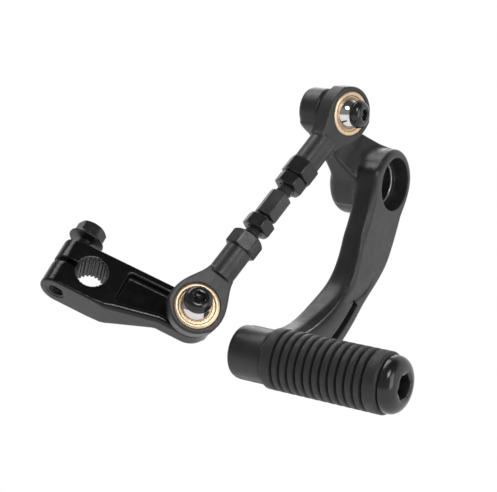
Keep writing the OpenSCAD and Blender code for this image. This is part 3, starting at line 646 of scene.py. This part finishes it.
def arm_field(x, y, z):
    """The arm: its inner side has a rounded front lobe, a crease and a rear lobe."""
    t, across, over = along_arm(x, z)
    half = eased(t, ARM_WIDTHS) / 2
    depth = eased(t, ARM_DEPTHS)
    crease = eased(t, CREASE_DEPTHS)
    lobe_turn = eased(t, LOBE_TURNS)
    edge_w = eased(t, EDGE_WIDTHS)
    into = y + HUB_HALF
    # The front lobe is an ellipse that turns past its widest point and ends in the crease
    middle = crease * lobe_turn
    past = np.maximum(across - half + edge_w, 0) / edge_w
    front = (np.hypot(past, (into - middle) / middle) - 1) * edge_w
    crease_x = half - edge_w + edge_w * np.sqrt(1 - ((1 - lobe_turn) / lobe_turn) ** 2)
    # The rear lobe swells from the crease to its widest point
    peak = crease + REAR_LOBE_PEAK * (depth - crease)
    q = np.clip((into - crease) / (peak - crease), -1, 1)
    swell = (1 - (1 - np.abs(q)) ** 4) * np.sign(q)
    rear = across - crease_x - (half + eased(t, ARM_FLARES) - crease_x) * swell
    rear = np.maximum(rear, crease - CREASE_OVERLAP - into)
    inner = round_join(front, rear, CREASE_FILLET * (1 - lobe_turn) + MIN_FILLET)
    side = np.maximum(inner, round_meet(-across - half, -into, ARM_FACE_EDGE))
    side = round_meet(side, into - depth, ARM_REAR_EDGE)
    return round_meet(side, over, np.where(across > 0, ARM_ROOT_EDGE, ARM_END_EDGE))


def hub_field(r, y):
    """The hub before it is bored, from the distance r to its axis."""
    hub = round_meet(r - HUB_R, -HUB_HALF - y, HUB_RIM)
    return round_meet(hub, y - HUB_HALF, HUB_REAR_RIM)


def web_field(x, y, z, from_screw):
    """The web and the rod boss; their rear edges are rounder than their front edges."""
    plan = round_join(polygon_distance(x, z, WEB), from_screw - ROD_BOSS_R, WEB_FILLET)
    reach = x * web_u[0] + z * web_u[1]
    edge = np.where(y > ROD_BOSS_FRONT + WEB_EDGE_SPLIT, WEB_REAR_EDGE, WEB_FRONT_EDGE)
    return round_meet(plan, polygon_distance(reach, y, RAMP), edge)


def scoop_field(x, into, z):
    """A shallow slope in the arm's face, from a straight edge down to an arc."""
    depth = SCOOP_DEPTH * (SCOOP_TOP - z) / (SCOOP_R - SCOOP_CHORD)
    disc = np.hypot(x - SCOOP_CENTRE[0], z - SCOOP_CENTRE[1]) - SCOOP_R
    return np.maximum(np.maximum(into - depth, disc), z - SCOOP_TOP)


def lever_field(x, y, z):
    """The whole casting; into is the distance behind its front face."""
    into = y + HUB_HALF
    from_pivot = np.hypot(x, z)
    from_peg = np.hypot(x - peg_axis[0], z - peg_axis[1])
    from_screw = np.hypot(x - rod_boss[0], z - rod_boss[1])
    boss = round_meet(from_peg - PEG_BOSS_R, into - PEG_BOSS_LEN, PEG_BOSS_EDGE)
    boss = round_meet(boss, -into, PEG_BOSS_EDGE)
    body = round_join(hub_field(from_pivot, y), arm_field(x, y, z), HUB_FILLET)
    body = round_join(body, web_field(x, y, z, from_screw), WEB_FILLET)
    body = round_join(body, boss, PEG_BOSS_FILLET)
    body = np.maximum(body, -into)
    body = round_cut(body, scoop_field(x, into, z), SCOOP_EDGE)
    groove = np.maximum(polygon_distance(x, z, GROOVE), into - GROOVE_DEPTH)
    body = round_cut(body, groove, CUT_EDGE)
    recess = np.maximum(from_pivot - RECESS_R, HUB_HALF - RECESS_DEPTH - np.abs(y))
    body = round_cut(body, recess, CUT_EDGE)
    body = np.maximum(body, BUSH_R - from_pivot)
    body = round_cut(body, from_screw - THREAD_R, HOLE_EDGE)
    bolt_hole = np.maximum(from_peg - PEG_BOLT_HOLE_R, into - PEG_BOSS_LEN + PEG_BOLT_HOLE_FLOOR)
    return np.maximum(body, -bolt_hole)


lever_box = (-96, -13, -59), (15, 13, 41)
lever_step = 0.45
make("lever_casting", "lever", CAST, on_lever, surface(lever_field, *lever_box, lever_step),
     replaces=["pedal_lever"])


def bush_rings(inner, outer, half, lip):
    """A sleeve whose two inner edges are rounded by the lip."""
    rise = arc((inner + lip, half - lip), lip, 180, 90, 5)
    return turned([(outer, -half), (outer, half)] + rise[::-1]
                  + [(r, -z) for r, z in rise])


bush_half = HUB_HALF - RECESS_DEPTH
shell_rings = bush_rings(BUSH_BORE_R + BORE_SHADE_SHEET, BUSH_R, bush_half, 0.4)
# A thin black sheet lines the bush's bore, stopping short of its rounded ends; it paints the shade
# that falls inside the bore.
bore_shade_rings = bush_rings(BUSH_BORE_R, BUSH_BORE_R + BORE_SHADE_SHEET, bush_half - 0.5, 0.05)
make("bush_shell", "lever", BUSH, on_hub, stack(shell_rings, closed=True),
     replaces=["pivot_bush"])
make("bush_bore_painted_shade", "lever", SCREW, on_hub, stack(bore_shade_rings, closed=True))

# Peg


def rib_gap_side():
    """Half a groove of the rubber, as (depth, distance from the groove's middle)."""
    half = RIB_GAP_W / 2
    edge = [(0, half + 0.25), (0.04, half + 0.15), (0.15, half + 0.05)]
    return edge + [(RIB_GAP_DEPTH - 0.25, half * 0.55), (RIB_GAP_DEPTH, half * 0.25)]


def rubber_rings():
    """The outside of the rubber from its rear end to its tip; the bore closes it."""
    start, end = RUBBER_GAP, CORE_LEN - RUBBER_GAP
    rear, tip = RUBBER_REAR_EDGE, RUBBER_TIP_EDGE
    out = [(CORE_R, start), (RUBBER_R - 1.5, start)]
    out += arc((RUBBER_R - rear, start + rear), rear, 270, 350, 5)
    side = rib_gap_side()
    for i in range(GROOVES):
        mid = start + REAR_BAND + RIB_GAP_W / 2 + i * GROOVE_PITCH
        out += [(RUBBER_R - depth, mid - away) for depth, away in side]
        out += [(RUBBER_R - depth, mid + away) for depth, away in side[::-1]]
    out += arc((RUBBER_R - tip, end - tip), tip, 0, 90, 6)
    out += [(CORE_R, end)]
    return turned(out)


make("peg_grip", "lever", RUBBER, on_peg, stack(rubber_rings(), closed=True),
     replaces=["peg_rubber"])
finish_node("peg_core", PLAIN, 0.3)


def dome(r, mouth, foot, top, start):
    """A profile from the rim (r, foot) up to the socket's mouth, close to (mouth, top)."""
    return [(mouth + (r - mouth) * math.cos(a), foot + (top - foot) * math.sin(a))
            for a in np.radians(np.linspace(start, 86, 12))]


def socket_rings(af, corner, mouth, lead, heights, floor_r):
    """A hexagon socket: its mouth, its widened lead-in, its flats and its floor."""
    hexa = hexagon(af, corner)
    top, lead_z, flats_top, flats_foot, floor = heights
    return [ring(circle(mouth), top), ring(hexa * lead, lead_z), ring(hexa, flats_top),
            ring(hexa, flats_foot), ring(circle(floor_r), floor)]


def dome_rings():
    """Domed bolt head with a hexagon socket, from its seat up and down into the socket."""
    mouth = DOME_SOCKET / math.sqrt(3) + DOME_SOCKET_LIP
    out = [(0.01, 0), (DOME_R - 0.35, 0), (DOME_R, 0.35), (DOME_R, DOME_RIM_H - 0.4)]
    out += dome(DOME_R, mouth, DOME_RIM_H, DOME_H, 4)
    heights = [DOME_H - depth for depth in (0, 0.35, 0.6, 4.2, 4.6)]
    return turned(out) + socket_rings(DOME_SOCKET, DOME_SOCKET_CORNER, mouth, 1.04, heights,
                                      DOME_SOCKET / 2 - 0.6)


make("peg_end_bolt", "lever", SCREW, on_peg.at(z=CORE_LEN), stack(dome_rings()),
     replaces=["peg_bolt"])

# Ball joints


def ball_rings():
    """The ball with its flats a hair short of the spacer and the washer."""
    half = BALL_HALF - FACE_GAP
    top = math.degrees(math.asin(half / BALL_R))
    return turned([(THREAD_R + BORE_PLAY, -half)] + arc((0, 0), BALL_R, -top, top, 24)
                  + [(THREAD_R + BORE_PLAY, half)])


def liner_rings():
    """The liner: a swaged bulge and a stepped lip on each face, and a bore for the ball."""
    bore = BALL_R + LINER_PLAY
    mouth = math.degrees(math.asin(LINER_HALF / bore))
    inside = [(r, -z) for r, z in arc((0, 0), bore, -mouth, mouth, 20)]
    half = RING_HALF + LINER_PROUD
    face = arc((LINER_BULGE_AT, half - LINER_BULGE_R), LINER_BULGE_R, 48, 120, 10)
    face += [(6.42, half - 0.5), (6.12, half - 0.52), (6.0, half - 0.4), (5.78, half - 0.42)]
    return turned(face + inside + [(r, -z) for r, z in face[::-1]])


def washer_rings(thickness):
    """A spacer or washer with small chamfers, from its seat up."""
    r, edge = SPACER_R, WASHER_EDGE
    return turned([(THREAD_R, 0), (r - edge, 0), (r, edge), (r, thickness - edge),
                   (r - edge, thickness), (THREAD_R, thickness)])


def screw_rings(shank):
    """A button-head screw from its tip up and down into the socket."""
    mouth = SCREW_SOCKET / math.sqrt(3) + SCREW_SOCKET_LIP
    tip, top, edge = HEAD_RISE - shank, HEAD_RISE + SCREW_HEAD_H, SCREW_TIP_EDGE
    out = [(0.01, tip), (THREAD_R - edge, tip), (THREAD_R, tip + edge), (THREAD_R, HEAD_RISE),
           (SCREW_HEAD_R - 0.2, HEAD_RISE)]
    out += dome(SCREW_HEAD_R, mouth, HEAD_RISE + SCREW_RIM_H, top, 0)
    heights = [top - depth for depth in (0, 0.2, 0.35, 2.0, 2.3)]
    return turned(out) + socket_rings(SCREW_SOCKET, SCREW_SOCKET_CORNER, mouth, 1.05, heights,
                                      SCREW_SOCKET / 2 - 0.3)


def rod_end_field(x, y, z):
    """Ring, flat neck and round shank of a rod end, whose rod runs along Z."""
    ring_disc = np.hypot(x, z) - RING_R
    neck = np.maximum(np.abs(x) - SHANK_R, np.maximum(-z, z - FLAT_REACH))
    head = round_join(ring_disc, neck, NECK_FILLET)
    head = round_meet(head, np.abs(y) - RING_HALF, RING_EDGE)
    start, end = FLAT_REACH - FLAT_OVERLAP, ROD_END_LEN - COLLAR_LEN + COLLAR_OVERLAP
    shank = np.maximum(np.hypot(x, y) - SHANK_R, np.maximum(start - z, z - end))
    body = round_join(head, shank, SHANK_FILLET)
    return round_cut(body, np.hypot(x, z) - LINER_R, RING_BORE_EDGE)


rod_end_box = (-11, -6, -11), (11, 6, 28)
rod_end_step = 0.25
rod_end_head = surface(rod_end_field, *rod_end_box, rod_end_step)
collar = stack(turned_hex_rings(COLLAR_AF, ROD_END_LEN - COLLAR_LEN, ROD_END_LEN, COLLAR_FACE_R))


def ball_joint(side, end_place, screw_place, ball_body, end_body, seat_body, boss_len):
    """A rod end with its liner, ball, spacer, washer and screw, in a boss of some length."""
    make(f"{side}_rod_end_forging", end_body, OXIDE, end_place, rod_end_head,
         replaces=[f"{side}_rod_end"], smooth=40)
    bevel(make(f"{side}_rod_end_collar", end_body, NUT, end_place, collar), 0.2)
    liner_place = Place(end_place.origin, end_place.y, x=end_place.x)
    make(f"{side}_liner_ring", end_body, BRASS, liner_place, stack(liner_rings(), closed=True),
         replaces=[f"{side}_liner"])
    make(f"{side}_joint_ball", ball_body, CHROME, screw_place, stack(ball_rings(), closed=True),
         replaces=[f"{side}_ball"])
    make(f"{side}_seat_ring", seat_body, PLAIN, screw_place.at(z=-SEAT_DROP),
         stack(washer_rings(SPACER_T), closed=True),
         replaces=[f"{side}_spacer"])
    make(f"{side}_head_washer", seat_body, PLAIN, screw_place.at(z=BALL_HALF),
         stack(washer_rings(WASHER_T), closed=True),
         replaces=[f"{side}_washer"])
    shank = HEAD_RISE + SEAT_DROP + boss_len - SCREW_TIP_GAP
    make(f"{side}_button_screw", seat_body, SCREW, screw_place, stack(screw_rings(shank)),
         replaces=[f"{side}_ball_screw"])


ball_joint("upper", on_upper_end, on_upper_screw, "upper_pivot_ball", "upper_end", "lever",
           ROD_BOSS_LEN)
ball_joint("lower", on_lower_end, on_arm, "lower_pivot_ball", "lower_end", "shaft_arm",
           FOOT_T)

# Link rod

lower_nut_z = ROD_END_LEN + LOWER_THREAD_GAP
hex_z = lower_nut_z + NUT_H + NECK_LEN
upper_end_z = rod_len - ROD_END_LEN
hex_top = hex_z + LINK_HEX_LEN


def nut_rings():
    """A nut from its lower face up the outside and back down the bore."""
    outside = turned_hex_rings(NUT_AF, 0, NUT_H, NUT_FACE_R)
    bore, edge = THREAD_R + BORE_PLAY, NUT_BORE_EDGE
    return ([ring(circle(bore + edge), 0)] + outside + [ring(circle(bore + edge), NUT_H),
            ring(circle(bore), NUT_H - edge), ring(circle(bore), edge)])


def link_rings():
    """The lower thread, a short neck, the hexagon and the upper thread."""
    neck_r, neck_z = THREAD_R - NECK_DEPTH, hex_z - NECK_LEN
    return (thread_rings(THREAD_R, ROD_END_LEN - THREAD_REACH, neck_z)
            + turned([(neck_r, neck_z + 0.05), (neck_r, hex_z)])
            + turned_hex_rings(LINK_AF, hex_z, hex_top, LINK_FACE_R)
            + thread_rings(THREAD_R, hex_top + FACE_GAP, upper_end_z + THREAD_REACH))


bevel(make("link_turnbuckle", "link", LINK, on_rod, stack(link_rings()),
           replaces=["link_rod"]), 0.14, angle=50)
bevel(make("lower_lock_nut", "link", NUT, on_rod.at(z=lower_nut_z),
           stack(nut_rings(), closed=True),
           replaces=["lower_jam_nut"]), 0.2)
bevel(make("upper_lock_nut", "upper_end", NUT, on_rod.at(z=upper_end_z - NUT_H),
           stack(nut_rings(), closed=True),
           replaces=["upper_jam_nut"]), 0.2)

# Clamp arm

CLAMP_INNER_X, TAPER_END_X = -CRANK_LEN + 9.6, -10.0
POCKET_BORE_X = -CRANK_LEN + SPLINE_CREST_R + 6.6
INSERT_R = SPLINE_CREST_R + 0.75


def arm_outline(inset):
    """The clamp arm seen from its screw's head, moved in by the inset."""
    r = FOOT_W / 2 - inset
    top, bottom = CLAMP_UPPER - CRANK_RISE - inset, -CLAMP_LOWER - CRANK_RISE + inset
    end_x = PINCH_X - NOSE_LEN - 1
    return ([(end_x, top), (end_x, bottom), (CLAMP_INNER_X, bottom), (TAPER_END_X, -r)]
            + arc((0, 0), r, 270, 450, 24))


def arm_profile():
    """The clamp arm seen along its pinch bolt, with a round nose, in (x, z)."""
    back = CRANK_FACE - CLAMP_T
    nose = [(PINCH_X - NOSE_LEN * math.sin(a), CLAMP_MID + CLAMP_T / 2 * math.cos(a))
            for a in np.radians(np.linspace(0, 180, 25))]
    return ([(FOOT_W, CRANK_FACE)] + nose
            + [(CLAMP_INNER_X + 2, back), (TAPER_END_X - 1, CRANK_FACE - FOOT_T),
               (FOOT_W, CRANK_FACE - FOOT_T)])


OUTLINE, PROFILE, POCKET = arm_outline(0), arm_profile(), arm_outline(POCKET_WALL)


def clamp_arm_field(x, y, z):
    """The forging, with its pocket, bore, slot, pinch hole and threaded foot."""
    # On the lower side the edge gets rounder from the clamp towards the foot
    soft = np.where(y < SOFT_SIDE_Y, np.clip((x - CLAMP_INNER_X + 5) / 8, 0, 1), 0)
    edge = CLAMP_EDGE + (CLAMP_SOFT_EDGE - CLAMP_EDGE) * soft
    body = round_meet(polygon_distance(x, y, OUTLINE), polygon_distance(x, z, PROFILE), edge)
    pocket = round_meet(polygon_distance(x, y, POCKET), POCKET_BORE_X - x, POCKET_R)
    pocket = round_meet(pocket, POCKET_FOOT_R - np.hypot(x, y), POCKET_FLOOR_R)
    pocket = round_meet(pocket, CRANK_FACE - POCKET_DEPTH - z, POCKET_FLOOR_R)
    body = round_cut(body, pocket, POCKET_LIP)
    above = y + CRANK_RISE
    bore = np.hypot(x + CRANK_LEN, above)
    body = np.maximum(body, INSERT_R - bore)
    slot = np.maximum(np.abs(above) - SLOT_W / 2, x + CRANK_LEN)
    body = round_cut(body, slot, CUT_EDGE)
    pinch_hole_r = np.where(above > 0, PINCH_HOLE_R, PINCH_TAPPED_R)
    body = round_meet(body, pinch_hole_r - np.hypot(x - PINCH_X, z - CLAMP_MID), HOLE_EDGE)
    return round_cut(body, np.hypot(x, y) - THREAD_R, HOLE_EDGE)


clamp_lo = (PINCH_X - NOSE_LEN - 2, -14, CRANK_FACE - CLAMP_T - 1)
clamp_hi = (FOOT_W / 2 + 2, 9, CRANK_FACE + 1)
clamp_step = 0.3
make("clamp_forging", "shaft_arm", GLOSS, on_arm,
     surface(clamp_arm_field, clamp_lo, clamp_hi, clamp_step),
     replaces=["clamp_arm"])


def strip(rings):
    """Joins open rings, wrapping from the last ring to the first, with end caps."""
    n, m = len(rings[0]), len(rings)
    faces = []
    for i in range(m):
        a, b = i * n, (i + 1) % m * n
        faces += [(a + j, a + j + 1, b + j + 1, b + j) for j in range(n - 1)]
    faces.append(tuple(i * n for i in range(m)))
    faces.append(tuple(i * n + n - 1 for i in range(m - 1, -1, -1)))
    return np.vstack(rings), faces


def spline_rings():
    """A toothed ring behind a plain collar, open where the slot is, at angle 180."""
    gap = math.asin(SLOT_W / 2 / INSERT_R)
    turn = np.linspace(-math.pi + gap, math.pi - gap, SPLINES * 12)
    phase = (turn * SPLINES / (2 * math.pi)) % 1
    tooth = np.clip((np.abs(phase - 0.5) - 0.16) / 0.12, 0, 1)
    teeth = SPLINE_CREST_R + SPLINE_VALLEY * (1 - tooth)

    def at(radius, z):
        return np.c_[radius * np.cos(turn), radius * np.sin(turn), np.full(len(turn), z)]

    half, outer = CLAMP_T / 2, INSERT_R + 0.03
    collar = SPLINE_CREST_R + SPLINE_VALLEY
    return [at(teeth, -half + 0.3), at(teeth + 0.15, -half), at(outer, -half), at(outer, half),
            at(collar + 0.12, half), at(collar, half - 0.15), at(collar, half - SPLINE_COLLAR),
            at(teeth, half - SPLINE_COLLAR)]


make("clamp_splines", "shaft_arm", PLAIN, on_arm.at(-CRANK_LEN, -CRANK_RISE, CLAMP_MID),
     strip(spline_rings()), smooth=25)

# The pinch hole's thread and the pinch bolt, along the clamp arm's Y

on_pinch = Place(on_arm.out([PINCH_X, -CRANK_RISE, CLAMP_MID]), on_arm.y, x=on_arm.x)


def tapped_rings():
    """A threaded sleeve that lines the lower half of the pinch hole."""
    outer, low, high = PINCH_TAPPED_R + 0.05, -CLAMP_LOWER, -SLOT_W / 2 - 0.2
    thread = thread_rings(TAP_R, low + 0.5, high - 0.2, depth=0.5)
    return (turned([(outer, low + 0.1), (outer, high), (TAP_R, high)]) + thread[::-1]
            + turned([(TAP_R + 0.1, low + 0.3)]))


make("clamp_tapped_hole", "shaft_arm", PLAIN, on_pinch, stack(tapped_rings(), closed=True))


def pinch_bolt_rings():
    """The bolt from its tip up: thread, flange, and a hexagon with a dished top."""
    flange_r, hex_foot, top = PINCH_FLANGE_R, PINCH_FLANGE_T + 0.1, PINCH_FLANGE_T + PINCH_HEAD_H
    flange = [(PINCH_R + 0.1, 0), (flange_r - 0.3, 0), (flange_r, 0.3), (flange_r - 0.1, 0.8),
              (PINCH_AF / 2 + 0.9, PINCH_FLANGE_T + 0.05)]
    dish = [(3.7, top), (3.3, top - 0.4), (0.5, top - 0.5)]
    return (thread_rings(PINCH_R, -PINCH_LEN, -0.3) + turned(flange)
            + turned_hex_rings(PINCH_AF, hex_foot, top, PINCH_FACE_R, turned_foot=False)
            + turned(dish))


bevel(make("pinch_flange_bolt", "shaft_arm", NUT, on_pinch.at(z=CLAMP_UPPER + PINCH_OUT),
           stack(pinch_bolt_rings()), replaces=["pinch_bolt"]),
      0.12, angle=50)

# Camera, floor and light

IMAGE_W, FOCAL_PX, SENSOR_W = 497, 1510, 36
CAMERA_AT = (-0.5019, -0.2865, 0.1270)
AZIMUTH, ELEVATION = math.radians(-55.6), math.radians(14.9)
LIGHTS_FACE = (-45.0, 0.0, -5.0)


def add_camera():
    """The photograph's camera, which isn't rolled."""
    back = np.array([math.sin(AZIMUTH) * math.cos(ELEVATION),
                     -math.cos(AZIMUTH) * math.cos(ELEVATION), math.sin(ELEVATION)])
    right = np.array([math.cos(AZIMUTH), math.sin(AZIMUTH), 0])
    turn = np.column_stack([right, np.cross(back, right), back])
    data = bpy.data.cameras.new("camera")
    data.sensor_width = SENSOR_W
    data.lens = FOCAL_PX * SENSOR_W / IMAGE_W
    camera = add_object("camera", data)
    camera.matrix_world = Matrix.Translation(CAMERA_AT) @ Matrix(turn.tolist()).to_4x4()
    bpy.context.scene.camera = camera


def soft_box(name, direction, distance, size, power):
    """A light of (width, height) that faces the object from a direction."""
    direction = unit(direction)
    at = (np.array(LIGHTS_FACE) + direction * distance) * MM
    data = bpy.data.lights.new(name, "AREA")
    data.energy, data.shape = power, "RECTANGLE"
    data.size, data.size_y = (side * MM for side in size)
    obj = add_object(name, data)
    place = Place(at, direction, y=UP)
    axes = np.column_stack([place.x, place.y, place.z])
    obj.matrix_world = Matrix.Translation(at.tolist()) @ Matrix(axes.tolist()).to_4x4()


def pale_floor(radius, height):
    """A plain floor, well below the object, that is as bright as the studio's bright side."""
    data = bpy.data.meshes.new("floor")
    rim = ring(circle(radius), height) * MM
    data.from_pydata(rim.tolist(), [], [list(range(len(rim)))])
    material = bpy.data.materials.new("pale_floor")
    material.use_nodes = True
    shader = material.node_tree.nodes["Principled BSDF"]
    for socket, value in (("Base Color", (0, 0, 0, 1)), ("Specular IOR Level", 0),
                          ("Emission Color", (1, 1, 1, 1)), ("Emission Strength", 1)):
        shader.inputs[socket].default_value = value
    data.materials.append(material)
    obj = add_object("floor", data)


def studio_world(bright_side, level, dark_side):
    """A room with one bright side, an even level elsewhere and a dark patch."""
    world = bpy.data.worlds.new("studio")
    bpy.context.scene.world = world
    world.use_nodes = True
    nodes, links = world.node_tree.nodes, world.node_tree.links
    coords = nodes.new("ShaderNodeTexCoord").outputs["Generated"]

    def fade(direction, start, end, low, high):
        """From low to high between two values of the dot product with the direction."""
        towards = nodes.new("ShaderNodeVectorMath")
        towards.operation = "DOT_PRODUCT"
        towards.inputs[1].default_value = unit(direction).tolist()
        links.new(coords, towards.inputs[0])
        made = nodes.new("ShaderNodeMapRange")
        made.interpolation_type = "SMOOTHSTEP"
        for socket, value in (("From Min", start), ("From Max", end), ("To Min", low),
                              ("To Max", high)):
            made.inputs[socket].default_value = value
        links.new(towards.outputs["Value"], made.inputs["Value"])
        return made.outputs["Result"]

    product = nodes.new("ShaderNodeMath")
    product.operation = "MULTIPLY"
    links.new(fade(bright_side, -0.35, 0.3, level, 1.0), product.inputs[0])
    links.new(fade(dark_side, 0.55, 0.88, 1.0, 0.25), product.inputs[1])
    nodes["Background"].inputs["Color"].default_value = (1, 1, 1, 1)
    links.new(product.outputs["Value"], nodes["Background"].inputs["Strength"])


add_camera()
pale_floor(radius=4000, height=-170)
studio_world(bright_side=(0.75, -0.1, -0.65), level=0.28, dark_side=(-0.07, -0.41, 0.91))
soft_box("rear_top", (0.12, 0.5, 0.85), 1000, (700, 450), 3.9)
soft_box("right_rear", (0.78, 0.55, 0.38), 1200, (450, 450), 2.1)
soft_box("front_strip", (-0.16, -0.96, 0.1), 1000, (460, 850), 3.2)
soft_box("front_top", (-0.45, -0.57, 0.69), 1000, (340, 340), 3.0)
bpy.context.scene.view_settings.view_transform = "Standard"
